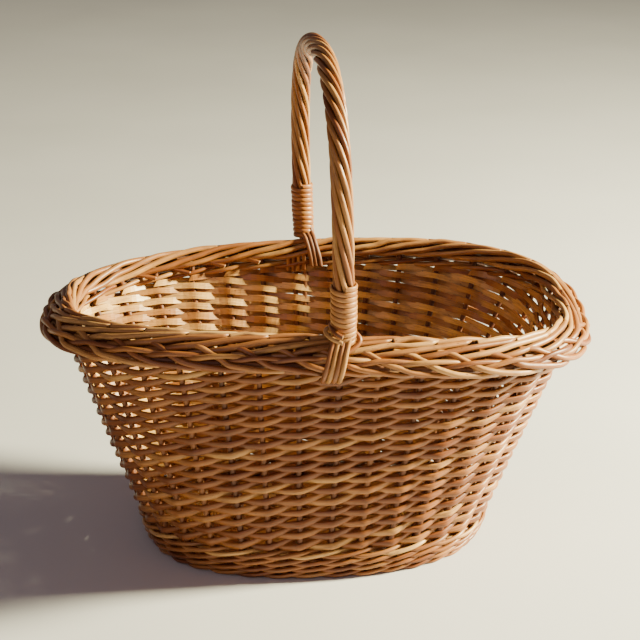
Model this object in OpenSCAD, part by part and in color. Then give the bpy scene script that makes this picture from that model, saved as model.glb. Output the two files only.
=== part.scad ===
// Oval willow market basket with a fixed arch handle.
// The origin is on the floor at the middle of the base, +X runs along the length and +Z is up.
// All sizes are in millimetres. An "offset" is measured outwards from the middle of the wall.

/* [Base] */
// Half length of the base, to the middle of the wall
base_half_l = 141; // [120:1:160]
// Half width of the base, to the middle of the wall
base_half_w = 98; // [80:1:110]
// Thickness of the woven base
base_thick = 12; // [11:0.5:14]
// Number of sticks that run along the base
long_stick_count = 3; // [3:2:5]
// Number of sticks that run across the base
cross_stick_count = 8; // [6:1:9]
// Diameter of the long sticks
long_stick_d = 4.5; // [3.5:0.5:5]
// Diameter of the cross sticks
cross_stick_d = 7; // [6:0.5:8]

/* [Wall] */
// Half length of the rim, to the middle of the wall
rim_half_l = 210; // [190:1:225]
// Half width of the rim, to the middle of the wall
rim_half_w = 128; // [115:1:140]
// Height of the top of the wall at the handle
wall_h = 202; // [180:1:215]
// How much lower the wall is at its two ends than at the handle
rim_sag = 7; // [0:1:12]
// How much higher the rim is at its back right and front left than at the other two corners
rim_warp = 9; // [0:1:12]
// How far the rim is turned against the base by the pull of the weave
rim_turn = -4; // [-8:1:8]
// How much squarer the +X end of the rim is than its -X end
rim_egg = 0.2; // [0:0.1:0.8]
// Thickness of the woven wall
wall_thick = 13; // [11:0.5:14]
// Number of side stakes
stake_count = 34; // [30:2:38]
// Diameter of a side stake
stake_d = 5.2; // [4.5:0.1:5.6]
// Number of rows of waling round the foot
foot_rows = 4; // [4]
// Height of one row of waling
wale_h = 6.8; // [6:0.2:7.4]

/* [Handle] */
// Half width of the handle's arch
handle_half_w = 147; // [138:1:152]
// Height of the top of the handle's middle line
handle_top = 436; // [400:2:460]
// Place of the handle along the length, at the rim
handle_x = 5.6; // [0:0.2:8]
// How far the top of the arch leans along the length
handle_lean = -8; // [-12:1:12]
// How far the top of the arch leans across the width
handle_nod = -14; // [-15:1:15]
// Diameter of the bow in the middle of the handle
bow_d = 8.6; // [7.5:0.1:8.8]
// Diameter of a rod twisted round the bow
twist_d = 4.5; // [4:0.1:4.7]
// Number of rods twisted round the bow
twist_count = 8; // [8]
// Length of one full turn of the twist
twist_pitch = 180; // [150:5:220]
// Number of turns of each lashing
lash_turns = 11; // [8:1:12]

/* [Hidden] */

willow = [0.72, 0.52, 0.32];
dark_willow = [0.52, 0.33, 0.18];
pale_willow = [0.82, 0.66, 0.45];

base_power = 2.35;      // exponent of the base oval, where 2 is an ellipse
rim_power = 2.75;       // exponent of the rim oval
base_level = 6;         // height at which the base oval is measured
clear = 0.15;           // space round a rod that passes through a woven piece
stations = 2 * stake_count;
row_gap = 0.2;
foot_top = foot_rows * (wale_h + row_gap);
border_h = 28;
oval_samples = 180;

// ---- The two ovals and the wall between them ----

function oval_radius(a, half_l, half_w, power) =
    pow(pow(abs(cos(a)) / half_l, power) + pow(abs(sin(a)) / half_w, power), -1 / power);

function base_oval(a) =
    let (r = oval_radius(a, base_half_l, base_half_w, base_power))
    [r * cos(a), r * sin(a)];

function rim_oval(a) =
    let (u = a - rim_turn)
    let (r = oval_radius(u, rim_half_l, rim_half_w, rim_power + rim_egg * cos(u)))
    [r * cos(a), r * sin(a)];

function rim_z(a) =
    let (u = rim_oval(a)[0] / rim_half_l)
    let (v = rim_oval(a)[1] / rim_half_w)
    wall_h - rim_sag * u * u + rim_warp * u * v;

function plan_at(a, t) = base_oval(a) * (1 - t) + rim_oval(a) * t;

function outward(a, t) =
    let (d = plan_at(a + 0.5, t) - plan_at(a - 0.5, t))
    [d[1], -d[0]] / norm(d);

// A point at an angle, an offset and a height. Above the wall the border stands straight up.
function wall_point(a, offset, z) =
    let (t = min((z - base_level) / (rim_z(a) - base_level), 1))
    let (p = plan_at(a, t) + outward(a, max(t, 0)) * offset)
    [p[0], p[1], z];

// Angles spaced evenly along the wall, halfway up it
arc_steps = [for (i = [0 : oval_samples - 1])
    norm(plan_at((i + 1) * 360 / oval_samples, 0.5) - plan_at(i * 360 / oval_samples, 0.5))];
arc_table = [for (i = 0, s = 0; i <= oval_samples; s = s + (i < oval_samples ? arc_steps[i] : 0), i = i + 1)
    [s, i * 360 / oval_samples]];
arc_total = arc_table[oval_samples][0];
function angle_at(share) = lookup((share - floor(share)) * arc_total, arc_table);

station_angles = [for (i = [0 : stations - 1]) angle_at(i / stations)];

// ---- Solids swept round the oval or along a path ----

// Triangles of a surface of rows x cols points that closes on itself both ways
function closed_skin(rows, cols) = [
    for (i = [0 : rows - 1], j = [0 : cols - 1])
        let (a = i * cols + j)
        let (b = i * cols + (j + 1) % cols)
        let (c = ((i + 1) % rows) * cols + (j + 1) % cols)
        let (d = ((i + 1) % rows) * cols + j)
        each [[a, c, b], [a, d, c]]
];

// A closed ring round the basket. Each profile point is [offset, height, 0 or 1], and its height
// is taken from the floor for 0 and from the top of the wall for 1.
module ring(profile) {
    points = [for (a = station_angles, p = profile) wall_point(a, p[0], p[1] + p[2] * rim_z(a))];
    polyhedron(points, closed_skin(stations, len(profile)));
}

function round_profile(offset, height, half_w, half_h) = [
    for (i = [0 : 7]) let (a = 22.5 + 45 * i) [offset + half_w * cos(a), height + half_h * sin(a), 1]
];

// A tube with flat ends along a path. The sides are laid out from the direction given as up.
module tube(path, r, sides, up) {
    n = len(path);
    rings = [for (i = [0 : n - 1])
        let (d = path[min(i + 1, n - 1)] - path[max(i - 1, 0)])
        let (u = cross(d, up) / norm(cross(d, up)))
        let (v = cross(u, d) / norm(cross(u, d)))
        for (j = [0 : sides - 1])
            path[i] + r * (u * cos(360 * j / sides) + v * sin(360 * j / sides))];
    walls = [for (i = [0 : n - 2], j = [0 : sides - 1])
        let (a = i * sides + j)
        let (b = i * sides + (j + 1) % sides)
        each [[a, b, b + sides], [a, b + sides, a + sides]]];
    caps = [[for (j = [sides - 1 : -1 : 0]) j], [for (j = [0 : sides - 1]) (n - 1) * sides + j]];
    polyhedron(rings, concat(walls, caps));
}

module rod_between(p, q, r) {
    d = q - p;
    translate(p)
        rotate([0, acos(d[2] / norm(d)), atan2(d[1], d[0])])
            cylinder(h = norm(d), r = r, $fn = 24);
}

// A smooth curve through points chosen by hand, with the given number of steps between them
function curve_point(p, i, t) =
    let (n = len(p) - 1)
    let (a = p[max(i - 1, 0)])
    let (b = p[i])
    let (c = p[i + 1])
    let (d = p[min(i + 2, n)])
    0.5 * (2 * b + (c - a) * t + (2 * a - 5 * b + 4 * c - d) * t * t
        + (3 * b - a - 3 * c + d) * t * t * t);
function smooth_path(p, steps) = concat(
    [for (i = [0 : len(p) - 2], s = [0 : steps - 1]) curve_point(p, i, s / steps)],
    [p[len(p) - 1]]);

// ---- Base ----

long_stick_pitch = 20;
cross_stick_reach = 0.84;    // share of the base's half length that the cross sticks cover
stick_level = base_thick / 2;
base_margin = wall_thick / 2 + 0.4;

// Half of the base's length or width along a line at a distance from the middle
function base_half_at(distance, half_along, half_across) =
    (half_along - base_margin) * pow(1 - pow(distance / (half_across - base_margin), base_power),
        1 / base_power);

module long_sticks(extra) {
    for (i = [0 : long_stick_count - 1]) {
        y = (i - (long_stick_count - 1) / 2) * long_stick_pitch;
        half = base_half_at(abs(y), base_half_l, base_half_w) - 1.5 + 4 * extra;
        rod_between([-half, y, stick_level], [half, y, stick_level], long_stick_d / 2 + extra);
    }
}

module cross_sticks(extra) {
    pitch = 2 * cross_stick_reach * base_half_l / cross_stick_count;
    for (i = [0 : cross_stick_count - 1]) {
        x = (i - (cross_stick_count - 1) / 2) * pitch;
        half = base_half_at(abs(x), base_half_w, base_half_l) - 1.5 + 4 * extra;
        rod_between([x, -half, stick_level], [x, half, stick_level], cross_stick_d / 2 + extra);
    }
}

module base_long_sticks() {
    color(pale_willow) long_sticks(0);
}

module base_cross_sticks() {
    color(willow)
        difference() {
            cross_sticks(0);
            long_sticks(clear);
        }
}

module base_weave() {
    outline = [for (a = station_angles)
        base_oval(a) - outward(a, 0) * base_margin];
    color(willow)
        difference() {
            linear_extrude(base_thick) polygon(outline);
            cross_sticks(clear);
            long_sticks(clear);
        }
}

// ---- Stakes ----

stake_bottom = 2;            // height of the stakes' lower ends above the floor
stake_top = 14;              // how far the stakes stand above the wall, between the border's rods

function stake_angle(k) = angle_at((k + 0.5) / stake_count);

module stake(k) {
    a = stake_angle(k);
    foot = wall_point(a, 0, base_level);
    run = wall_point(a, 0, rim_z(a)) - foot;
    below = (base_level - stake_bottom) / run[2];
    above = stake_top / run[2];
    rod_between(foot - run * below, foot + run * (1 + above), stake_d / 2);
}

module stake_group(first, last) {
    color(dark_willow)
        for (k = [first : last]) stake(k);
}

quarter = floor(stake_count / 4);
module stakes_right() { stake_group(-4, 3); }
module stakes_back() { stake_group(4, 3 + quarter + 1); }
module stakes_left() { stake_group(5 + quarter, stake_count - quarter - 6); }
module stakes_front() { stake_group(stake_count - quarter - 5, stake_count - 5); }

// ---- Woven wall ----

// The weavers pass in front of the stakes and behind them, so the wall is two woven skins with the
// stakes held between them.
half_t = wall_thick / 2;
skin_gap = stake_d / 2 + 0.3;

// One row of waling round the foot. The lowest row curves in under the edge of the base.
module foot_wale(row) {
    z0 = row * (wale_h + row_gap);
    z1 = z0 + wale_h;
    tuck = row == 0 ? 3 : 0.8;
    color(pale_willow)
        ring([[skin_gap - tuck / 2, z0, 0], [half_t - tuck, z0, 0], [half_t, z0 + 0.55 * wale_h, 0],
            [half_t - 0.6, z1, 0], [skin_gap, z1, 0]]);
}
module foot_wale_1() { foot_wale(0); }
module foot_wale_2() { foot_wale(1); }
module foot_wale_3() { foot_wale(2); }
module foot_wale_4() { foot_wale(3); }

// A woven skin between two offsets. Its bottom is measured as a profile point's height is, and its
// top from the top of the wall.
module skin(inner, outer, bottom, bottom_from, top) {
    ring([[inner, bottom, bottom_from], [outer, bottom, bottom_from], [outer, top, 1], [inner, top, 1]]);
}

module foot_wale_inner() {
    color(pale_willow)
        ring([[-half_t, 1, 0], [-skin_gap, 1, 0], [-skin_gap, foot_top - row_gap, 0],
            [-half_t, foot_top - row_gap, 0]]);
}

wale_lift = 1.2;             // height of the top waling above the top of the wall, inside the border

module side_weave_outer() {
    color(willow) skin(skin_gap, half_t, foot_top, 0, wale_lift - row_gap);
}

module side_weave_inner() {
    color(willow) skin(-half_t, -skin_gap, foot_top, 0, wale_lift - row_gap);
}

module top_wale_outer() {
    color(willow) skin(skin_gap, half_t, wale_lift, 1, wale_lift + wale_h);
}

module top_wale_inner() {
    color(willow) skin(-half_t, -skin_gap, wale_lift, 1, wale_lift + wale_h);
}

// ---- Border ----

module border_trac_row() {
    color(willow) ring(round_profile(14.4, 4.7, 7.6, 4.4));
}
module border_plait_row() {
    color(willow) ring(round_profile(17.4, 13.8, 5.6, 4.4));
}
module border_top_row() {
    color(pale_willow)
        difference() {
            ring(round_profile(9.6, 19.6, 5.0, 4.4));
            bow_ends(clear);
        }
}
module border_inner_row() {
    color(pale_willow)
        difference() {
            ring(round_profile(2, 23.7, 4.6, 4.3));
            bow_ends(clear);
        }
}

// ---- Handle ----

leg_z = wall_h + border_h + 3;
arch_mid_z = 295;
arch_power = 2.6;
arch_slope = 0.07;           // how much higher the front shoulder of the arch is than the back one

// A point on the middle line of the arch. The angle runs from the front foot, below 0, over the
// top at 90 to the back foot, above 180.
function arch_point(a) =
    let (c = cos(a))
    let (s = sin(a))
    let (y = -handle_half_w * sign(c) * pow(abs(c), 2 / arch_power))
    let (z = arch_mid_z + (handle_top - arch_mid_z) * sign(s) * pow(abs(s), 2 / arch_power))
    let (rise = max(0, (z - leg_z) / (handle_top - leg_z)))
    [handle_x + handle_lean * rise, y + handle_nod * rise, z - arch_slope * y * rise];

foot_angle = asin(pow((arch_mid_z - leg_z) / (handle_top - arch_mid_z), arch_power / 2));
function leg_foot(side) = arch_point(side < 0 ? -foot_angle : 180 + foot_angle);

arch_steps = 54;
function arch_angle(share) =
    let (u = 2 * share - 1)
    90 + (90 + foot_angle) * (0.55 * u + 0.45 * u * u * u);
arch_path = [for (i = [0 : arch_steps]) arch_point(arch_angle(i / arch_steps))];
arch_length = [for (i = 0, s = 0; i <= arch_steps;
    s = s + (i < arch_steps ? norm(arch_path[i + 1] - arch_path[i]) : 0), i = i + 1) s];

function arch_side(i) =
    let (d = arch_path[min(i + 1, arch_steps)] - arch_path[max(i - 1, 0)])
    let (u = cross(d, [1, 0, 0]))
    u / norm(u);

twist_r = bow_d / 2 + twist_d / 2 + 0.15;

function twist_path(k) = [
    for (i = [0 : arch_steps])
        let (a = 360 * k / twist_count + 360 * arch_length[i] / twist_pitch)
        arch_path[i] + twist_r * (cos(a) * arch_side(i) + sin(a) * [1, 0, 0])
];

// The hidden ends of the bow, shaved thin: each runs in between the border's rods and down between
// the two skins of the wall, beside a stake.
bow_end_d = 5;
bow_end_depth = 50;
bow_bend = 3;                // height of the bend above the wall

module bow_ends(extra) {
    for (side = [-1, 1]) {
        a = side * 90 - side * atan(handle_x / rim_half_w);
        bend = wall_point(a, 0, rim_z(a) + bow_bend);
        rod_between(bend, leg_foot(side), bow_end_d / 2 + extra);
        rod_between(wall_point(a, 0, rim_z(a) - bow_end_depth), bend, bow_end_d / 2 + extra);
        translate(bend) sphere(d = bow_end_d + 0.4 + 2 * extra, $fn = 24);
    }
}

module handle_bow() {
    color(dark_willow) {
        tube(arch_path, bow_d / 2, 8, [1, 0, 0]);
        bow_ends(0);
    }
}

module twist_group(first) {
    color(willow)
        for (k = [first : 2 : twist_count - 1]) tube(twist_path(k), twist_d / 2, 5, [1, 0.001, 0]);
}
module handle_twist_front() { twist_group(0); }
module handle_twist_back() { twist_group(1); }

lash_d = 4.3;                // width of the lashing's split rod, which is half as thick
lash_inner_r = twist_r + twist_d / 2 + 0.15;
lash_sink = 0.2;             // how far the middle of the split rod's round face is from its flat one
lash_drop = 5;               // how far a lashing reaches below the leg's foot
lash_bow = 0.6;              // how far a leg bows outwards inside its lashing

// A lashing is one long split rod wound tightly round a leg, turn on turn
module lashing(side) {
    p = leg_foot(side);
    i = side < 0 ? 2 : arch_steps - 2;
    d = arch_path[i] - p;
    pitch = lash_d + 0.1;
    color(pale_willow)
        translate(p + [0, side * lash_bow, 0])
            rotate([0, acos(d[2] / norm(d)), atan2(d[1], d[0])]) translate([0, 0, -lash_drop])
                difference() {
                    union() {
                        cylinder(h = lash_turns * pitch, r = lash_inner_r + 1.2, $fn = 48);
                        for (n = [0 : lash_turns - 1])
                            translate([0, 0, (n + 0.5) * pitch])
                                rotate_extrude($fn = 48)
                                    translate([lash_inner_r + lash_sink, 0])
                                        circle(d = lash_d - 0.2, $fn = 24);
                    }
                    translate([0, 0, -1])
                        cylinder(h = lash_turns * pitch + 2, r = lash_inner_r, $fn = 48);
                }
}
module lashing_front() { lashing(-1); }
module lashing_back() { lashing(1); }

// The rods' tails leave the lashing and wrap the border. Each route is [along, offset, height
// above the wall], and on the back of the basket it is turned half round.
tail_d = 4.1;
tail_pitch = 4.2;
outer_route = [[-1.5, 19, 29], [-3.5, 23.5, 21], [-5.5, 26, 12], [-7.5, 25, 3], [-8.8, 19.5, -5],
    [-9.3, 11, -8]];
inner_route = [[-2.5, 3, 31], [-4.5, -3.2, 28], [-7, -7.3, 20], [-9.3, -9, 11], [-10.5, -9.2, 4]];

function tail_points(route, side, shift) = [
    for (q = route)
        let (x = handle_x - side * (q[0] + shift))
        let (a = side * 90 - side * atan(x / rim_half_w))
        wall_point(a, q[1], q[2] + rim_z(a))
];

module tails(route, side, count) {
    color(willow)
        for (i = [0 : count - 1])
            tube(smooth_path(tail_points(route, side, (i - (count - 1) / 2) * tail_pitch), 3),
                tail_d / 2, 6, [1, 0.1, 0]);
}
module outer_tails_front() { tails(outer_route, -1, 4); }
module outer_tails_back() { tails(outer_route, 1, 4); }
module inner_tails_front() { tails(inner_route, -1, 3); }
module inner_tails_back() { tails(inner_route, 1, 3); }

base_long_sticks();
base_cross_sticks();
base_weave();
foot_wale_1();
foot_wale_2();
foot_wale_3();
foot_wale_4();
foot_wale_inner();
stakes_right();
stakes_back();
stakes_left();
stakes_front();
side_weave_outer();
side_weave_inner();
top_wale_outer();
top_wale_inner();
border_trac_row();
border_plait_row();
border_top_row();
border_inner_row();
handle_bow();
handle_twist_front();
handle_twist_back();
lashing_front();
lashing_back();
outer_tails_front();
outer_tails_back();
inner_tails_front();
inner_tails_back();
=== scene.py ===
"""Oval willow market basket: its woven, plaited, twisted and lashed rods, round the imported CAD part.

Lengths are in millimetres here and become metres when a mesh is made. A place on the basket's wall
is given as (u, offset, z). u counts stakes round the basket, counter-clockwise from above, so stake k
stands at u = k. The offset is measured outwards from the middle of the wall, and z is the height.
"""

import bpy
import numpy as np
from mathutils import Matrix, Vector


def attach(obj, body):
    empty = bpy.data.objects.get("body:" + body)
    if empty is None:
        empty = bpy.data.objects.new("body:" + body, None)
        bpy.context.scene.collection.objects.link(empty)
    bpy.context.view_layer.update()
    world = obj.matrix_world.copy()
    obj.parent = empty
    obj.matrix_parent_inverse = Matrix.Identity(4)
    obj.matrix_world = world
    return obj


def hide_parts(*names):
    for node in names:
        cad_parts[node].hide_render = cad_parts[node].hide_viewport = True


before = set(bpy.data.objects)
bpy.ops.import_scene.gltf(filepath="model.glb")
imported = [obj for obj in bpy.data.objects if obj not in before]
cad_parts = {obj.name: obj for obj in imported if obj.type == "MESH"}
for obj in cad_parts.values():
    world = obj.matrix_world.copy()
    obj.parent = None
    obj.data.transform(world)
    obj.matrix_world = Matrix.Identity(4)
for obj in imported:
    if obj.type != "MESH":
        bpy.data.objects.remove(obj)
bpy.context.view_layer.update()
rng = np.random.default_rng(7)

MM = 0.001
TAU = 2 * np.pi
X_AXIS, Z_AXIS = np.array([1.0, 0.0, 0.0]), np.array([0.0, 0.0, 1.0])

# ---- The CAD part's driving dimensions ----

BASE_HALF_L, BASE_HALF_W, BASE_POWER, BASE_LEVEL = 141.0, 98.0, 2.35, 6.0
RIM_HALF_L, RIM_HALF_W, RIM_POWER = 210.0, 128.0, 2.75
RIM_TURN, RIM_EGG = np.radians(-4.0), 0.2
WALL_H, RIM_SAG, RIM_WARP = 202.0, 7.0, 9.0
STAKES = 34
STAKE_D = 5.2
WALE_H = 6.8
FOOT_ROWS = 4
FOOT_TOP = FOOT_ROWS * (WALE_H + 0.2)
WALE_LIFT = 1.2
BORDER_H = 28.0
BASE_THICK = 12.0

HANDLE_HALF_W, HANDLE_TOP, HANDLE_X = 147.0, 436.0, 5.6
HANDLE_LEAN, HANDLE_NOD = -8.0, -14.0
BOW_D, TWIST_D, TWIST_COUNT, TWIST_PITCH = 8.6, 4.5, 8, 180.0
LASH_D = 4.3
ARCH_MID_Z, ARCH_POWER, ARCH_SLOPE = 295.0, 2.6, 0.07
LEG_Z = WALL_H + BORDER_H + 3


# ---- The wall's surface ----

def oval_radius(a, half_l, half_w, power):
    across = np.abs(np.cos(a)) / half_l
    along = np.abs(np.sin(a)) / half_w
    return (across ** power + along ** power) ** (-1 / power)


def base_oval(a):
    r = oval_radius(a, BASE_HALF_L, BASE_HALF_W, BASE_POWER)
    return np.stack([r * np.cos(a), r * np.sin(a)], -1)


def rim_oval(a):
    turned = a - RIM_TURN
    r = oval_radius(turned, RIM_HALF_L, RIM_HALF_W, RIM_POWER + RIM_EGG * np.cos(turned))
    return np.stack([r * np.cos(a), r * np.sin(a)], -1)


def rim_z(a):
    x, y = np.moveaxis(rim_oval(a), -1, 0)
    along, across = x / RIM_HALF_L, y / RIM_HALF_W
    return WALL_H - RIM_SAG * along ** 2 + RIM_WARP * along * across


def plan_at(a, t):
    share = np.asarray(t)[..., None]
    return base_oval(a) * (1 - share) + rim_oval(a) * share


def outward(a, t):
    """The direction square to the wall in plan, at an angle and a share of the height."""
    half_step = np.radians(0.5)
    d = plan_at(a + half_step, t) - plan_at(a - half_step, t)
    d = np.stack([d[..., 1], -d[..., 0]], -1)
    return d / np.linalg.norm(d, axis=-1, keepdims=True)


def wall_point(a, offset, z):
    """Points on the wall and the outward direction at each. Above the wall the border stands upright."""
    a, offset, z = np.broadcast_arrays(np.asarray(a, float), offset, z)
    t = np.minimum((z - BASE_LEVEL) / (rim_z(a) - BASE_LEVEL), 1)
    normal = outward(a, np.maximum(t, 0))
    plan = plan_at(a, t) + normal * offset[..., None]
    points = np.concatenate([plan, z[..., None]], -1)
    return points, np.concatenate([normal, np.zeros_like(z)[..., None]], -1)


def lean(a):
    """How far the wall goes outwards for each unit of height."""
    run = rim_oval(a) - base_oval(a)
    return np.sum(run * outward(a, np.full_like(a, 0.5)), axis=-1) / (rim_z(a) - BASE_LEVEL)


ARC_SAMPLES = 720
arc_angles = np.linspace(0, TAU, ARC_SAMPLES + 1)
arc_steps = np.linalg.norm(np.diff(plan_at(arc_angles, np.full(ARC_SAMPLES + 1, 0.5)), axis=0), axis=-1)
arc_sums = np.concatenate([[0], np.cumsum(arc_steps)])
stake_shift = rng.uniform(-0.05, 0.05, STAKES)     # no basket's stakes stand quite evenly


def angle_at(u):
    """The angle of a place counted in stakes."""
    u = np.asarray(u, float)
    u = u + np.interp(u % STAKES, np.arange(STAKES + 1), np.append(stake_shift, stake_shift[0]))
    return np.interp((u + 0.5) / STAKES % 1 * arc_sums[-1], arc_sums, arc_angles)


# ---- Rods ----

def smooth(points, steps):
    """A Catmull-Rom curve through the points, with that many steps from each to the next."""
    p = np.asarray(points, float)
    p = np.concatenate([p[:1], p, p[-1:]])
    t = np.linspace(0, 1, steps, endpoint=False)[:, None]
    spans = []
    for a, b, c, d in zip(p, p[1:], p[2:], p[3:]):
        spans.append(0.5 * (2 * b + (c - a) * t + (2 * a - 5 * b + 4 * c - d) * t ** 2
                            + (3 * b - a - 3 * c + d) * t ** 3))
    return np.concatenate(spans + [p[-1:]])


def wobble(s, length, amount):
    """A smooth random wave along s, of roughly that wavelength."""
    wave = np.zeros_like(s)
    for stretch in (0.6, 1.0, 1.7):
        wave = wave + np.sin(TAU * s / (length * stretch) + rng.uniform(0, TAU))
    return amount * wave / 1.8


def round_section(sides):
    a = TAU * (np.arange(sides) + 0.5) / sides
    return np.stack([np.cos(a), np.sin(a)], -1)


# Half of a rod split down its middle: a round outer face, and a flat inner one between two corners
SPLIT_ARC = np.radians([-75, -45, -15, 15, 45, 75])
SPLIT_SECTION = np.concatenate([np.stack([0.50 * np.cos(SPLIT_ARC), np.sin(SPLIT_ARC)], -1),
                                [[-0.26, 0.93], [-0.26, -0.93]]])
SPLIT_CORNERS = (6, 7)


class Piece:
    """A mesh made of rods. Every vertex knows where it lies in its rod's grain, for the material."""

    def __init__(self, name):
        self.name = name
        self.points, self.faces, self.grain, self.rod_tone, self.pith = [], [], [], [], []
        self.flat, self.split, self.corner = [], [], []
        self.count = 0

    def rod(self, path, normal, radius, section=8, height=1.0, cuts=(0, 0)):
        """Adds a rod round a path. normal points roughly outwards at each point of it, section is a
        number of sides or an outline, height stretches it, and cuts are the slopes of the cut ends."""
        n = len(path)
        corners = () if isinstance(section, int) else SPLIT_CORNERS
        section = round_section(section) if isinstance(section, int) else section
        sides = len(section)
        tangent = np.gradient(path, axis=0)
        tangent /= np.linalg.norm(tangent, axis=1, keepdims=True)
        normal = np.broadcast_to(normal, path.shape)
        side = normal - tangent * np.sum(normal * tangent, axis=1, keepdims=True)
        side /= np.linalg.norm(side, axis=1, keepdims=True)
        up = np.cross(tangent, side)
        radius = np.broadcast_to(radius, n)[:, None, None]
        height = np.broadcast_to(height, n)[:, None, None]
        cos, sin = section[None, :, :1], section[None, :, 1:]
        ring = radius * (cos * side[:, None] + height * sin * up[:, None])
        points = path[:, None] + ring
        for end, slope in zip((0, -1), cuts):
            points[end] += tangent[end] * (slope * radius[end] * sin[0])
        along = np.concatenate([[0], np.cumsum(np.linalg.norm(np.diff(path, axis=0), axis=1))])
        grain = np.concatenate([np.broadcast_to(along[:, None, None], (n, sides, 1)),
                                radius * section[None]], -1)
        tone, start = rng.uniform(), rng.uniform(0, 900)
        first = self.count
        ids = first + np.arange(n * sides).reshape(n, sides)
        nxt = np.roll(ids, -1, axis=1)
        walls = np.stack([ids[:-1], nxt[:-1], nxt[1:], ids[1:]], -1).reshape(-1, 4)
        centres = points[[0, -1]].mean(axis=1)
        caps = [[first + n * sides, b, a] for a, b in zip(ids[0], nxt[0])]
        caps += [[first + n * sides + 1, a, b] for a, b in zip(ids[-1], nxt[-1])]
        self.points += [points.reshape(-1, 3), centres]
        self.faces += walls.tolist() + caps
        self.flat += [np.zeros(len(walls), bool), np.ones(len(caps), bool)]
        split_side = np.isin(np.arange(sides), corners[:1])
        self.split += [np.tile(split_side, n - 1), np.zeros(len(caps), bool)]
        self.corner += [np.tile(np.isin(np.arange(sides), corners), n), np.zeros(2, bool)]
        middle = np.array([[along[0], 0, 0], [along[-1], 0, 0]])
        self.grain.append(np.concatenate([grain.reshape(-1, 3), middle]) + [start, 0, 0])
        self.rod_tone.append(np.full(n * sides + 2, tone))
        self.pith.append(np.append(np.zeros(n * sides), [1, 1]))
        self.count += n * sides + 2

    def build(self, material, *replaced):
        """Makes the object. replaced names the CAD nodes that it stands for, if any."""
        mesh = bpy.data.meshes.new(self.name)
        mesh.from_pydata((np.concatenate(self.points) * MM).tolist(), [], self.faces)
        flat = np.concatenate(self.flat)
        mesh.polygons.foreach_set("use_smooth", ~flat)
        edges = np.empty(len(mesh.edges) * 2, np.int32)
        mesh.edges.foreach_get("vertices", edges)
        sharp = np.concatenate(self.corner)[edges.reshape(-1, 2)].all(axis=1)
        mesh.edges.foreach_set("use_edge_sharp", sharp)
        for name, kind, field, domain, values in (
                ("grain", "FLOAT_VECTOR", "vector", "POINT", np.concatenate(self.grain)),
                ("tone", "FLOAT", "value", "POINT", np.concatenate(self.rod_tone)),
                ("pith", "FLOAT", "value", "POINT", np.concatenate(self.pith)),
                ("split", "FLOAT", "value", "FACE", np.concatenate(self.split)),
                ("cut", "FLOAT", "value", "FACE", flat)):
            attribute = mesh.attributes.new(name, kind, domain)
            attribute.data.foreach_set(field, np.ascontiguousarray(values, np.float32).ravel())
        mesh.materials.append(material)
        obj = bpy.data.objects.new(self.name, mesh)
        bpy.context.scene.collection.objects.link(obj)
        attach(obj, "root")
        if replaced:
            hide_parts(*replaced)


# ---- Materials ----

def add_node(tree, kind, values=(), links=(), **settings):
    """Adds a shader node, with its settings, its inputs' values and the sockets linked to them."""
    made = tree.nodes.new(kind)
    for name, value in settings.items():
        setattr(made, name, value)
    for name, value in dict(values).items():
        made.inputs[name].default_value = value
    for name, socket in dict(links).items():
        tree.links.new(socket, made.inputs[name])
    return made


def math_node(tree, operation, a, b):
    """A sum or other operation on two sockets or numbers."""
    made = tree.nodes.new("ShaderNodeMath")
    made.operation = operation
    for socket, value in zip(made.inputs, (a, b)):
        if isinstance(value, (int, float)):
            socket.default_value = value
        else:
            tree.links.new(value, socket)
    return made.outputs[0]


def mix_colour(tree, factor, a, b, blend="MIX"):
    made = tree.nodes.new("ShaderNodeMix")
    made.data_type, made.blend_type = "RGBA", blend
    for socket, value in zip((made.inputs[0], made.inputs[6], made.inputs[7]), (factor, a, b)):
        if isinstance(value, (int, float, tuple)):
            socket.default_value = value
        else:
            tree.links.new(value, socket)
    return made.outputs[2]


def ramp(tree, socket, stops):
    made = add_node(tree, "ShaderNodeValToRGB", links={"Fac": socket})
    elements = made.color_ramp.elements
    while len(elements) < len(stops):
        elements.new(0.5)
    for element, (position, colour) in zip(elements, stops):
        element.position = position
        element.color = (*colour, 1) if isinstance(colour, tuple) else (colour, colour, colour, 1)
    return made.outputs[0]


def stretched_noise(tree, grain, stretch, detail, roughness=0.5):
    """Noise in the rod's own grain, with a scale along the rod and one round it, per millimetre."""
    place = add_node(tree, "ShaderNodeVectorMath", {1: (stretch[0], stretch[1], stretch[1])},
                     {0: grain}, operation="MULTIPLY")
    noise = add_node(tree, "ShaderNodeTexNoise",
                     {"Scale": 1.0, "Detail": detail, "Roughness": roughness},
                     {"Vector": place.outputs[0]}, noise_dimensions="3D")
    return noise.outputs[0]


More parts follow.
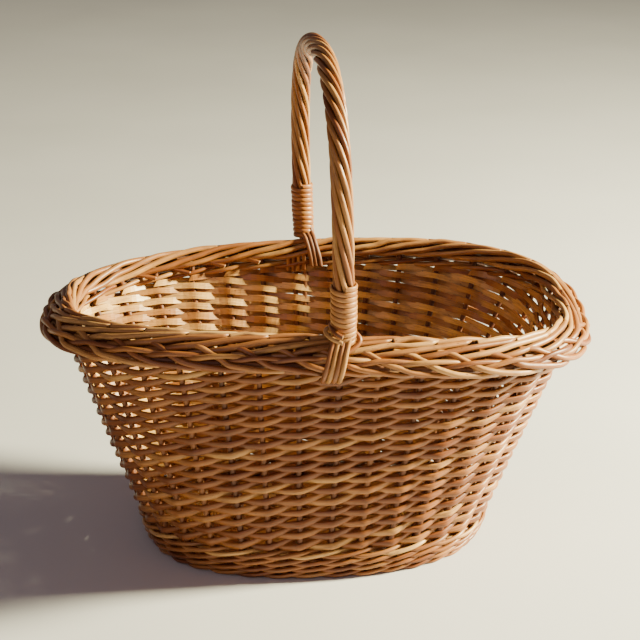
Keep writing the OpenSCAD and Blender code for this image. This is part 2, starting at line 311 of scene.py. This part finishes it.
def willow(name, tones, roughness=0.36, end_shade=1.0):
    """Varnished willow: each rod has its own tone, with streaks, knots and specks along its grain,
    and a cut end with its pith."""
    material = bpy.data.materials.new(name)
    material.use_nodes = True
    tree = material.node_tree
    tree.nodes.clear()
    grain = add_node(tree, "ShaderNodeAttribute", attribute_name="grain").outputs["Vector"]
    tone = add_node(tree, "ShaderNodeAttribute", attribute_name="tone").outputs["Fac"]
    pith = add_node(tree, "ShaderNodeAttribute", attribute_name="pith").outputs["Fac"]
    cut = add_node(tree, "ShaderNodeAttribute", attribute_name="cut").outputs["Fac"]
    split = add_node(tree, "ShaderNodeAttribute", attribute_name="split").outputs["Fac"]

    drift = stretched_noise(tree, grain, (0.016, 0.05), 2.0)
    shade = math_node(tree, "ADD", math_node(tree, "MULTIPLY", tone, 0.52),
                      math_node(tree, "MULTIPLY", drift, 0.48))
    shade = math_node(tree, "ADD", shade, math_node(tree, "MULTIPLY", split, 0.34))
    colour = ramp(tree, shade, tones)
    fibres = stretched_noise(tree, grain, (0.05, 1.5), 4.0, 0.6)
    colour = mix_colour(tree, 0.75, colour, ramp(tree, fibres, [(0.30, 0.42), (0.48, 0.86), (0.70, 1.22)]),
                        "MULTIPLY")
    patches = stretched_noise(tree, grain, (0.07, 0.25), 3.0, 0.6)
    colour = mix_colour(tree, ramp(tree, patches, [(0.55, 0.0), (0.72, 0.55)]), colour,
                        (0.13, 0.052, 0.020, 1))
    specks = stretched_noise(tree, grain, (0.30, 0.95), 1.0)
    colour = mix_colour(tree, ramp(tree, specks, [(0.70, 0.0), (0.76, 0.7)]), colour,
                        (0.06, 0.024, 0.010, 1))
    end_colour = ramp(tree, pith, [(0.0, (0.09, 0.040, 0.016)), (0.14, (0.30, 0.160, 0.070)),
                                   (0.62, (0.40, 0.240, 0.110)), (0.80, (0.17, 0.080, 0.035))])
    # An end_shade below 1 darkens the cut end: painted shade on cut ends that face the light
    end_colour = mix_colour(tree, 1.0, end_colour, (end_shade, end_shade, end_shade, 1), "MULTIPLY")
    colour = mix_colour(tree, cut, colour, end_colour)

    gloss = add_node(tree, "ShaderNodeMapRange", {"To Min": roughness - 0.08, "To Max": roughness + 0.16},
                     {"Value": patches}).outputs[0]
    relief = math_node(tree, "ADD", math_node(tree, "MULTIPLY", fibres, 0.5),
                       math_node(tree, "MULTIPLY", patches, 0.8))
    bump = add_node(tree, "ShaderNodeBump", {"Strength": 0.55, "Distance": 0.0005}, {"Height": relief})
    shader = add_node(tree, "ShaderNodeBsdfPrincipled", {"Specular IOR Level": 0.4},
                      {"Base Color": colour, "Roughness": gloss, "Normal": bump.outputs[0]})
    add_node(tree, "ShaderNodeOutputMaterial", links={"Surface": shader.outputs[0]})
    return material


WILLOW = willow("willow_brown", [(0.10, (0.105, 0.026, 0.006)), (0.35, (0.185, 0.052, 0.011)),
                                 (0.62, (0.30, 0.106, 0.024)), (0.95, (0.62, 0.345, 0.105))])
# The buff willow's cut ends are darkened to under a fifth: painted shade on the top rods' tips, which face
# the light
WILLOW_PALE = willow("willow_buff", [(0.10, (0.16, 0.048, 0.012)), (0.35, (0.27, 0.096, 0.024)),
                                     (0.62, (0.44, 0.208, 0.064)), (0.95, (0.70, 0.440, 0.155))],
                     end_shade=0.18)
# The deep willow is painted shade where it stands for shaded places: the stakes, the border's cores and the
# inner tails at the back
WILLOW_DARK = willow("willow_deep", [(0.10, (0.06, 0.015, 0.004)), (0.35, (0.11, 0.030, 0.008)),
                                     (0.62, (0.18, 0.056, 0.015)), (0.95, (0.30, 0.112, 0.034))], 0.5)


# ---- Base ----

CROSS_STICKS = 8
CROSS_SPREAD = 0.84                # the share of the base's length over which the cross sticks stand
CROSS_PITCH = 2 * CROSS_SPREAD * BASE_HALF_L / CROSS_STICKS
CROSS_XS = [(i - (CROSS_STICKS - 1) / 2) * CROSS_PITCH for i in range(CROSS_STICKS)]
LONG_YS = (-20.0, 0.0, 20.0)
CROSS_R, LONG_R, WEAVE_R = 3.5, 2.25, 1.25
WEAVE_LIFT = CROSS_R + WEAVE_R - 0.2     # how far a weaving rod goes up and down from the sticks' middle
BASE_MID_Z = BASE_THICK / 2
BASE_MARGIN = 6.9                  # from the middle of the wall to the edge of the base's weave
STICK_GAP = 1.5                    # from that edge to a stick's end

# The rounds of weave start as a squarish oval and end at the base's edge
ROUNDS, ROUND_STEPS = 23, 110
FIRST_HALF_L, FIRST_HALF_W, FIRST_POWER = 73.0, 27.0, 3.6

# Inside the first round the weave runs in straight rows
MIDDLE_YS = np.arange(-24.3, 25, 2.7)
MIDDLE_HALF_L = 70
STICK_ROOM = 0.9                   # the least space between a row's middle and a long stick's side


def stick_half(distance, along, across):
    """Half the length of a stick that lies that far from the middle of the base."""
    share = distance / (across - BASE_MARGIN)
    return (along - BASE_MARGIN) * (1 - share ** BASE_POWER) ** (1 / BASE_POWER) - STICK_GAP


def base_weave_wave(x, y):
    """1 and -1 by turns where a path crosses the sticks, for a rod that goes over and under them."""
    t = np.arange(len(x), dtype=float)
    crossings = []
    for value, lines in ((x, CROSS_XS), (y, LONG_YS)):
        for line in lines:
            d = value - line
            hit = np.flatnonzero(d[:-1] * d[1:] < 0)
            crossings += (hit + d[hit] / (d[hit] - d[hit + 1])).tolist()
    crossings = np.sort(crossings)
    return np.cos(np.pi * np.interp(t, crossings, np.arange(len(crossings))))


def middle_rods(weave, side):
    """One rod of each pair along the base's middle, over and under the cross sticks in turn."""
    for i, y0 in enumerate(MIDDLE_YS):
        if min(abs(y0 - stick) for stick in LONG_YS) < LONG_R + STICK_ROOM:
            continue
        x = np.linspace(-MIDDLE_HALF_L, MIDDLE_HALF_L, 90)
        y = y0 + wobble(x, 50, 0.2)
        first = side if i % 2 else -side
        z = BASE_MID_Z + first * WEAVE_LIFT * np.cos(np.pi * (x - CROSS_XS[0]) / CROSS_PITCH)
        weave.rod(np.stack([x, y, z], -1), Z_AXIS, WEAVE_R, 6)


def build_base_sticks():
    sticks = Piece("base_sticks_long")
    for y in LONG_YS:
        half = stick_half(abs(y), BASE_HALF_L, BASE_HALF_W)
        x = np.linspace(-half, half, 40)
        path = np.stack([x, y + wobble(x, 120, 0.4), np.full_like(x, BASE_MID_Z)], -1)
        sticks.rod(path, Z_AXIS, LONG_R + wobble(x, 60, 0.08), 10)
    sticks.build(WILLOW_PALE, "base_long_sticks")

    sticks = Piece("base_sticks_cross")
    for x in CROSS_XS:
        half = stick_half(abs(x), BASE_HALF_W, BASE_HALF_L)
        y = np.linspace(-half, half, 40)
        path = np.stack([x + wobble(y, 120, 0.4), y, np.full_like(y, BASE_MID_Z)], -1)
        sticks.rod(path, Z_AXIS, CROSS_R + wobble(y, 60, 0.1), 12)
    sticks.build(WILLOW, "base_cross_sticks")


def build_base_weave():
    """Two rods that wind outwards together, one over each stick where the other is under it."""
    a = np.linspace(0, TAU * ROUNDS, ROUNDS * ROUND_STEPS)
    share = a / (TAU * ROUNDS)
    half_l = FIRST_HALF_L + (BASE_HALF_L - BASE_MARGIN - FIRST_HALF_L) * share
    half_w = FIRST_HALF_W + (BASE_HALF_W - BASE_MARGIN - FIRST_HALF_W) * share
    r = oval_radius(a, half_l, half_w, FIRST_POWER + (BASE_POWER - FIRST_POWER) * share)
    x, y = r * np.cos(a), r * np.sin(a)
    wave = base_weave_wave(x, y)
    weave = Piece("base_pairing")
    for side in (-1, 1):
        z = BASE_MID_Z + side * WEAVE_LIFT * wave
        weave.rod(np.stack([x, y, z], -1), Z_AXIS, WEAVE_R + wobble(a, 9, 0.08), 6)
    middle_rods(weave, 1)
    weave.build(WILLOW, "base_weave")


def build_base_middle():
    """The second rod of each pair along the base's middle, which closes the weave there."""
    weave = Piece("base_middle_pairing")
    middle_rods(weave, -1)
    weave.build(WILLOW)


# ---- Stakes and the woven wall ----

STAKE_TOP = 15.0                   # how far a stake goes on above the wall, into the border

WALE_RODS = 3
WALE_MID, WALE_SWING, WALE_FLATTER = 1.2, 5.2, 0.9

FOOT_WALE_R, TOP_WALE_R = 1.85, 1.95
FOOT_FIRST_Z = 4.3                 # height of the foot's lowest row of waling
FOOT_TUCKS = (-2.6, -0.6, 0.0, 0.0)     # the lowest rows curve in under the edge of the base

WAVES = 17                         # how often a weaver goes out and in on its way up the wall
WEAVER_R, WEAVER_THINNING = 3.5, 0.35
WEAVER_SWING = 3.9                 # how far a weaver goes out and in from the middle of the wall
KINK = 0.96                        # 1 would make a weaver straight from one stake's middle to the next's
WEAVER_PIECES = 4


def build_stakes():
    groups = {"right": range(-4, 4), "back": range(4, 13), "left": range(13, 21), "front": range(21, 30)}
    for group, numbers in groups.items():
        piece = Piece("stakes_" + group + "_rods")
        for k in numbers:
            a = angle_at(k)
            top = rim_z(a) + STAKE_TOP
            z = np.concatenate([[6, 6, 7.5], np.linspace(11, top, 30)])
            offset = np.concatenate([[-16, -6, -1.5], np.zeros(30)])
            path, normal = wall_point(np.full(len(z), a), offset, z)
            path[:, :2] += normal[:, [1, 0]] * [-1, 1] * wobble(z, 150, 0.5)[:, None]
            piece.rod(path, Z_AXIS + normal, STAKE_D / 2 + 0.1 - 0.3 * z / top, 8)
        # The stakes are deep willow, darker than the weavers: painted shade for the shadow that each pass
        # casts on them
        piece.build(WILLOW_DARK, "stakes_" + group)


def waling(piece, row_z, shift, rod_r):
    """One row of three rods, each in front of two stakes and behind the third, over the other two.
    The rods close their ring, so nothing wobbles where their ends meet."""
    u = np.linspace(0, STAKES, STAKES * 9 + 1)
    a = angle_at(u)
    for j in range(WALE_RODS):
        x = TAU * (u - j) / WALE_RODS
        offset = WALE_MID - WALE_SWING * np.cos(x) - WALE_FLATTER * np.cos(2 * x) + shift
        z = row_z(a) - 0.62 * rod_r * 2 * np.sin(x)
        ends = np.minimum(1, np.minimum(u, STAKES - u))
        z = z + ends * wobble(u, 5.0, 0.35)
        offset = offset + ends * wobble(u, 4.0, 0.25)
        z = np.maximum(z - offset * lean(a), rod_r + 0.2)         # the lowest rods stand on the floor
        path, normal = wall_point(a, offset, z)
        piece.rod(path, normal, rod_r + ends * wobble(u, 4.0, 0.10), 8)


def build_foot():
    for row, tuck in enumerate(FOOT_TUCKS):
        piece = Piece("foot_waling_%d" % (row + 1))
        height = FOOT_FIRST_Z + row * (WALE_H - 0.1)
        waling(piece, lambda a: np.full_like(a, height), tuck, FOOT_WALE_R)
        nodes = ["foot_wale_%d" % (row + 1)] + ["foot_wale_inner"] * (row == 0)
        # The top row of the foot is buff willow, paler than the rows under it: painted light on the row that
        # catches the most light
        piece.build(WILLOW_PALE if row == FOOT_ROWS - 1 else WILLOW, *nodes)


def build_randing():
    """34 split weavers. Each starts behind its own stake at the foot, goes in front of one stake and behind
    the next, and reaches the top of the wall about one turn further round."""
    pieces = [Piece("side_weavers_%d" % (i + 1)) for i in range(WEAVER_PIECES)]
    run = 2 * WAVES
    beside_stake = np.array([-0.5, -0.32, -0.17, -0.07, 0.0, 0.07, 0.17, 0.32])
    turn = (np.arange(run + 1)[:, None] + beside_stake).ravel()[3:-2]
    for w in range(STAKES):
        u = w + turn + wobble(turn, 3.0, 0.02)
        a = angle_at(u)
        phase = np.pi * (turn - 1)
        side = np.arcsin(KINK * np.cos(phase)) / np.arcsin(KINK)     # straight, with a bend at each stake
        low, high = FOOT_TOP + 2.0, rim_z(a) + WALE_LIFT - 1.6
        rise = np.clip((turn - 0.5) / (run - 1), 0, 1)
        rise = rise + 0.09 * rise * (1 - rise)                       # the rows are closer towards the top
        z = low + (high - low) * rise + 0.3 * np.cos(2 * phase) + wobble(turn, 4.0, 0.36)
        offset = WEAVER_SWING * side - 0.25 + wobble(turn, 3.0, 0.25)
        path, normal = wall_point(a, offset, z - offset * (lean(a) + 0.1))
        size = rng.normal(0, 0.12)
        radius = WEAVER_R - WEAVER_THINNING * rise + size + wobble(turn, 5.0, 0.09)
        height = 0.93 - 0.05 * np.cos(phase) - 0.03 * np.cos(2 * phase)
        tilt = 0.45 * np.sin(phase) ** 2 + wobble(turn, 6.0, 0.08)
        normal = normal * np.cos(tilt)[:, None] - Z_AXIS * np.sin(tilt)[:, None]
        pieces[w % WEAVER_PIECES].rod(path, normal, radius, SPLIT_SECTION, height, (0.6, 0.6))
    replaced = (["side_weave_outer"], ["side_weave_inner"], [], [])
    for piece, nodes in zip(pieces, replaced):
        piece.build(WILLOW, *nodes)


def build_top_wale():
    piece = Piece("top_waling")
    waling(piece, lambda a: rim_z(a) + WALE_LIFT + WALE_H / 2, 0.0, TOP_WALE_R)
    piece.build(WILLOW, "top_wale_outer", "top_wale_inner")


# ---- Border ----

# A border rod's route: [stakes along, offset, height above the wall]
TOP_ROUTE = [[-0.4, 11.5, 12.0], [0.0, 12.8, 14.0], [0.4, 13.2, 17.0], [0.9, 11.2, 19.9], [1.4, 8.5, 21.8],
             [1.9, 5.9, 23.1], [2.4, 4.0, 23.8]]
INNER_ROUTE = [[0.0, 3.4, 24.0], [0.35, 1.8, 25.1], [0.7, 0.2, 25.4], [1.1, -1.6, 24.0], [1.55, -3.2, 21.5],
               [2.0, -4.3, 18.6], [2.45, -4.9, 15.7], [2.85, -4.2, 13.5], [3.2, -1.5, 12.2], [3.6, 2.5, 12.0]]
PLAIT_ROUTE = [[-1.1, 12.5, 5.0], [-0.75, 16.8, 7.8], [-0.4, 19.3, 10.8], [-0.05, 20.2, 13.4],
               [0.3, 19.3, 13.6], [0.65, 17.0, 12.2], [0.95, 13.0, 10.4]]
TRAC_ROUTE = [[-0.75, 9.5, 18.0], [-0.42, 12.6, 17.4], [-0.15, 15.6, 14.0], [0.08, 19.4, 10.8],
              [0.32, 21.3, 7.6], [0.7, 21.5, 4.9], [1.15, 20.8, 3.0], [1.45, 18.4, 1.6], [1.7, 14.0, 0.4]]
LOW_CORE_ROUTE = [[0.0, 0.0, 10.0], [0.2, 3.0, 12.0], [0.6, 9.0, 9.0], [1.1, 14.0, 7.2], [1.6, 16.3, 6.4],
                  [2.1, 14.5, 5.5]]
HIGH_CORE_ROUTE = [[-0.5, 8.0, 10.5], [0.0, 9.5, 11.0], [0.5, 11.0, 11.6], [1.0, 10.8, 13.6],
                   [1.5, 8.0, 16.6], [2.0, 4.8, 18.8], [2.4, 2.4, 20.0]]
PAINTED_SHADE_STAKES = range(1, 8)         # the back's right half, where the border's top and inner rods take a browner willow as painted shade


def border_rods(name, route, start, rod_r, taper, materials, node, cuts=(0, 0), spread=0.4):
    """One rod for each stake, all on the same route. materials gives the material of most of them, then
    that of the rods along the back's right half, a piece of their own; a browner one there is painted shade."""
    pieces = [Piece(name), Piece(name + "_brown")]
    for k in range(STAKES):
        points = np.array(route)
        points[:, 0] += k + start
        points[1:-1, 1:] += rng.normal(0, spread, points[1:-1, 1:].shape)
        points[-1, 0] += rng.normal(0, 0.05)
        u, offset, height = smooth(points, 6).T
        a = angle_at(u)
        path, normal = wall_point(a, offset, height + rim_z(a))
        share = np.linspace(0, 1, len(u))
        radius = (rod_r + rng.normal(0, 0.12)) * (1 - taper * share) + wobble(u, 1.5, 0.06)
        pieces[k in PAINTED_SHADE_STAKES].rod(path, normal, radius, 10, 1.0, cuts)
    for piece, material, nodes in zip(pieces, materials, ([node] if node else [], [])):
        piece.build(material, *nodes)


def build_border():
    # The second material of each pair goes on the rods along the back's right half: willow_brown in place of
    # willow_buff there is painted shade
    pale, brown, gap_painted_shade = (WILLOW_PALE, WILLOW), (WILLOW, WILLOW), (WILLOW_DARK, WILLOW_DARK)
    border_rods("border_top_rods", TOP_ROUTE, 0.75, 2.7, 0.12, pale, "border_top_row", (0, -2.2))
    border_rods("border_inner_rods", INNER_ROUTE, 3.27, 2.4, 0.0, pale, "border_inner_row")
    border_rods("border_plait_rods", PLAIT_ROUTE, 0.0, 2.5, 0.2, brown, "border_plait_row", (0, 1.0))
    border_rods("border_trac_rods", TRAC_ROUTE, 0.0, 2.65, 0.15, brown, "border_trac_row")
    # The cores are deep willow: painted shade in the gaps between the border's rods
    border_rods("border_low_core", LOW_CORE_ROUTE, 0.0, 3.3, 0.0, gap_painted_shade, None)
    border_rods("border_high_core", HIGH_CORE_ROUTE, 0.0, 2.6, 0.0, gap_painted_shade, None)


# ---- Handle ----

def arch_point(a):
    c, s = np.cos(a), np.sin(a)
    y = -HANDLE_HALF_W * np.sign(c) * np.abs(c) ** (2 / ARCH_POWER)
    z = ARCH_MID_Z + (HANDLE_TOP - ARCH_MID_Z) * np.sign(s) * np.abs(s) ** (2 / ARCH_POWER)
    rise = np.maximum(0, (z - LEG_Z) / (HANDLE_TOP - LEG_Z))
    return np.stack([HANDLE_X + HANDLE_LEAN * rise, y + HANDLE_NOD * rise, z - ARCH_SLOPE * y * rise], -1)


FOOT_ANGLE = np.arcsin(((ARCH_MID_Z - LEG_Z) / (HANDLE_TOP - ARCH_MID_Z)) ** (ARCH_POWER / 2))
TWIST_R = BOW_D / 2 + TWIST_D / 2 + 0.15


def arch_path(steps):
    u = np.linspace(-1, 1, steps)
    a = np.pi / 2 + (np.pi / 2 + FOOT_ANGLE) * (0.55 * u + 0.45 * u ** 3)
    return arch_point(a)


def build_handle():
    steps = 260
    path = arch_path(steps)
    length = np.concatenate([[0], np.cumsum(np.linalg.norm(np.diff(path, axis=0), axis=1))])
    side = np.cross(np.gradient(path, axis=0), X_AXIS)
    side /= np.linalg.norm(side, axis=1, keepdims=True)

    tighter = np.clip((length - 120) / 110, 0, 1)      # the twist is tighter below the front shoulder
    turned = TAU * length / TWIST_PITCH + 0.25 * TAU * tighter ** 2 * (3 - 2 * tighter)

    bow = Piece("handle_core")
    bow.rod(path, X_AXIS, BOW_D / 2, 12)
    for end in (-1, 1):
        a = end * np.pi / 2 - end * np.arctan(HANDLE_X / RIM_HALF_W)
        foot = arch_point(np.array(-FOOT_ANGLE if end < 0 else np.pi + FOOT_ANGLE))
        top = rim_z(np.array(a))
        bend = wall_point(a, 0, top + 3)[0]
        low = wall_point(a, 0, top - 50)[0]
        bow.rod(smooth([foot, bend, low], 12), X_AXIS, 2.4, 8)
    bow.build(WILLOW_DARK, "handle_bow")

    for first, name in ((0, "handle_twist_front"), (1, "handle_twist_back")):
        piece = Piece(name + "_rods")
        for k in range(first, TWIST_COUNT, 2):
            a = TAU * k / TWIST_COUNT + turned + wobble(length, 160, 0.05)
            out = np.cos(a)[:, None] * side + np.sin(a)[:, None] * X_AXIS
            strand = path + (TWIST_R - 0.2 + wobble(length, 120, 0.12))[:, None] * out
            piece.rod(strand, out, TWIST_D / 2 - 0.1 + wobble(length, 90, 0.08), 8)
        piece.build(WILLOW, name)


def build_lashings():
    """A split rod wound turn on turn round each leg, from a little below the leg's foot."""
    pitch = LASH_D + 0.1
    for legs, name, turns, drop, radius in ((arch_path(400), "front", 12, 7.0, 9.6),
                                            (arch_path(400)[::-1], "back", 12, 7.5, 9.1)):
        length = np.concatenate([[0], np.cumsum(np.linalg.norm(np.diff(legs, axis=0), axis=1))])
        turn = np.linspace(0, turns - 0.5, 24 * turns)
        rise = (turn + 0.5) * pitch - drop
        start = (legs[2] - legs[0]) / length[2]
        middle = np.stack([np.interp(rise, length, legs[:, i]) for i in range(3)], -1)
        middle += np.minimum(rise, 0)[:, None] * start
        across = np.cross(np.gradient(middle, axis=0), X_AXIS)
        across /= np.linalg.norm(across, axis=1, keepdims=True)
        out = np.cos(TAU * turn)[:, None] * across + np.sin(TAU * turn)[:, None] * X_AXIS
        path = middle + (radius - 0.9 * np.exp(-turn / 2) + wobble(turn, 3.0, 0.2))[:, None] * out
        piece = Piece("lashing_" + name + "_rod")
        piece.rod(path, out, 2.15 + wobble(turn, 4.0, 0.05), SPLIT_SECTION)
        piece.build(WILLOW, "lashing_" + name)


# A tail's route: [millimetres along, offset, height above the wall], turned half round at the back
OUTER_TAIL = [[-0.5, 17, 38], [-1.5, 19.5, 29], [-3.5, 23.5, 21], [-5.5, 26, 12], [-7.5, 25, 3],
              [-8.8, 19.5, -5], [-9.3, 11, -8]]
INNER_TAIL = [[-0.5, 8.5, 38], [-2.0, 5.5, 32], [-4.3, -2.6, 28.5], [-7, -7.3, 20], [-9.3, -9, 11],
              [-10.5, -9.2, 4]]


def build_tails():
    for route, count, where, spread in ((OUTER_TAIL, 4, "outer", 0.7), (INNER_TAIL, 3, "inner", 0.1)):
        for end, name in ((-1, "front"), (1, "back")):
            piece = Piece(where + "_tails_" + name + "_rods")
            for i in range(count):
                points = smooth(route, 6)
                share = np.linspace(0, 1, len(points))
                beside = (i - (count - 1) / 2) * (3.8 + spread * share) + wobble(share, 1.0, 0.25)
                x = HANDLE_X - end * (points[:, 0] + beside)
                a = end * np.pi / 2 - end * np.arctan(x / RIM_HALF_W)
                path, normal = wall_point(a, points[:, 1], points[:, 2] + rim_z(a))
                piece.rod(path, normal, 2.1 + wobble(points[:, 2], 20, 0.06), 8, 1.0, (0, 0.4))
            shaded = where + name == "innerback"
            piece.build(WILLOW_DARK if shaded else WILLOW, where + "_tails_" + name)


# ---- Loose rods ----

LEG_STAKE = 25                   # the front leg stands at this stake
END_STAKES = [9, 10, 11, 12]     # where a rod's end shows inside the back of the border
STUB_STAKE = 8                   # a row of upright stubs stands here
STUBS = 4
STUB_STEP = 0.15                 # a rod's thickness and a little air, in stakes


def loose_routes():
    """Routes of [stakes round, offset, height above the wall], each with its radius and material."""
    share = np.linspace(0, 1, 7)
    swing = np.sin(np.pi * share)
    across = (1 - np.cos(np.pi * share)) / 2
    routes = []
    for reach, level, material in ((0.38, 33.0, WILLOW_PALE), (0.26, 38.0, WILLOW)):
        # round the leg's left side, from inside the border to the outside
        ring = [LEG_STAKE - reach * swing, 29 * across, level + 3 * swing - 2.5 * share]
        routes.append((np.stack(ring, -1), 1.75, material))
    loop = [LEG_STAKE + 0.15 + 0.3 * swing, 6 + 12 * share, 36 - 16 * share]
    routes.append((np.stack(loop, -1), 2.1, WILLOW))
    for stake in END_STAKES:
        slope = [stake + 0.7 - 0.6 * share, 2 - 10 * share, 14 - 6 * share + rng.normal(0, 1.2)]
        routes.append((np.stack(slope, -1), 2.0, WILLOW))
    for n in range(STUBS):
        u = STUB_STAKE + STUB_STEP * (n - (STUBS - 1) / 2)
        routes.append((np.array([[u, -4, 15], [u, -4, -1]]), 2.0, WILLOW))
    return routes


def build_loose_rods():
    """The ends of rods that show inside the border, and the bent rods at the front leg's foot."""
    for i, (route, radius, material) in enumerate(loose_routes()):
        u, offset, height = smooth(route, 6).T
        a = angle_at(u)
        path, normal = wall_point(a, offset, height + rim_z(a))
        piece = Piece("loose_rod_%02d" % (i + 1))
        piece.rod(path, normal + 0.3 * Z_AXIS, radius, 10, 1.0, (0.3, 0.3))
        piece.build(material)


# ---- Stage ----

def build_stage():
    mesh = bpy.data.meshes.new("floor")
    half = 8.0
    mesh.from_pydata([(-half, -half, 0), (half, -half, 0), (half, half, 0), (-half, half, 0)], [],
                     [(0, 1, 2, 3)])
    material = bpy.data.materials.new("floor_paint")
    material.use_nodes = True
    tree = material.node_tree
    shader = tree.nodes["Principled BSDF"]
    shader.inputs["Roughness"].default_value = 0.6
    place = add_node(tree, "ShaderNodeTexCoord").outputs["Object"]
    noise = add_node(tree, "ShaderNodeTexNoise", {"Scale": 3.0, "Detail": 3.0}, {"Vector": place})
    tree.links.new(ramp(tree, noise.outputs[0], [(0.3, (0.52, 0.495, 0.50)), (0.7, (0.56, 0.535, 0.54))]),
                   shader.inputs["Base Color"])
    mesh.materials.append(material)
    floor = bpy.data.objects.new("floor", mesh)
    bpy.context.scene.collection.objects.link(floor)

    world = bpy.data.worlds.new("studio")
    world.use_nodes = True
    background = world.node_tree.nodes["Background"]
    background.inputs["Color"].default_value = (1.0, 0.86, 0.86, 1)
    background.inputs["Strength"].default_value = 0.15
    bpy.context.scene.world = world


def add_light(name, place, target, size, watts, colour):
    data = bpy.data.lights.new(name, "AREA")
    data.shape, data.size, data.energy, data.color = "SQUARE", size, watts, colour
    light = bpy.data.objects.new(name, data)
    light.location = place
    light.rotation_euler = (Vector(target) - Vector(place)).to_track_quat("-Z", "Y").to_euler()
    bpy.context.scene.collection.objects.link(light)


def build_camera():
    """Aims at the middle of the basket from the front, a little to its left and above it."""
    elevation, azimuth, roll = np.radians([19.55, -7.09, 0.71])
    distance, lens, sensor = 1.579, 103.2, 36.0
    target = np.array([0.0044, 0.0, 0.196])
    back = np.array([np.sin(azimuth) * np.cos(elevation), -np.cos(azimuth) * np.cos(elevation),
                     np.sin(elevation)])
    level = np.array([np.cos(azimuth), np.sin(azimuth), 0.0])
    over = np.cross(back, level)
    right = np.cos(roll) * level + np.sin(roll) * over
    up = -np.sin(roll) * level + np.cos(roll) * over
    data = bpy.data.cameras.new("camera")
    data.lens, data.sensor_width = lens, sensor
    camera = bpy.data.objects.new("camera", data)
    place = target + back * distance
    camera.matrix_world = Matrix([[*row, p] for row, p in zip(np.stack([right, up, back], 1), place)]
                                 + [[0, 0, 0, 1]])
    bpy.context.scene.collection.objects.link(camera)
    bpy.context.scene.camera = camera


build_camera()
build_stage()
add_light("key", (1.95, -0.11, 1.05), (0, 0, 0.15), 0.26, 430, (1.0, 0.97, 0.63))
add_light("fill", (-0.9, -1.9, 1.5), (0, 0, 0.1), 1.6, 11.5, (1.0, 0.82, 0.90))
build_base_sticks()
build_base_weave()
build_stakes()
build_foot()
build_randing()
build_top_wale()
build_border()
build_handle()
build_lashings()
build_tails()
build_loose_rods()
build_base_middle()
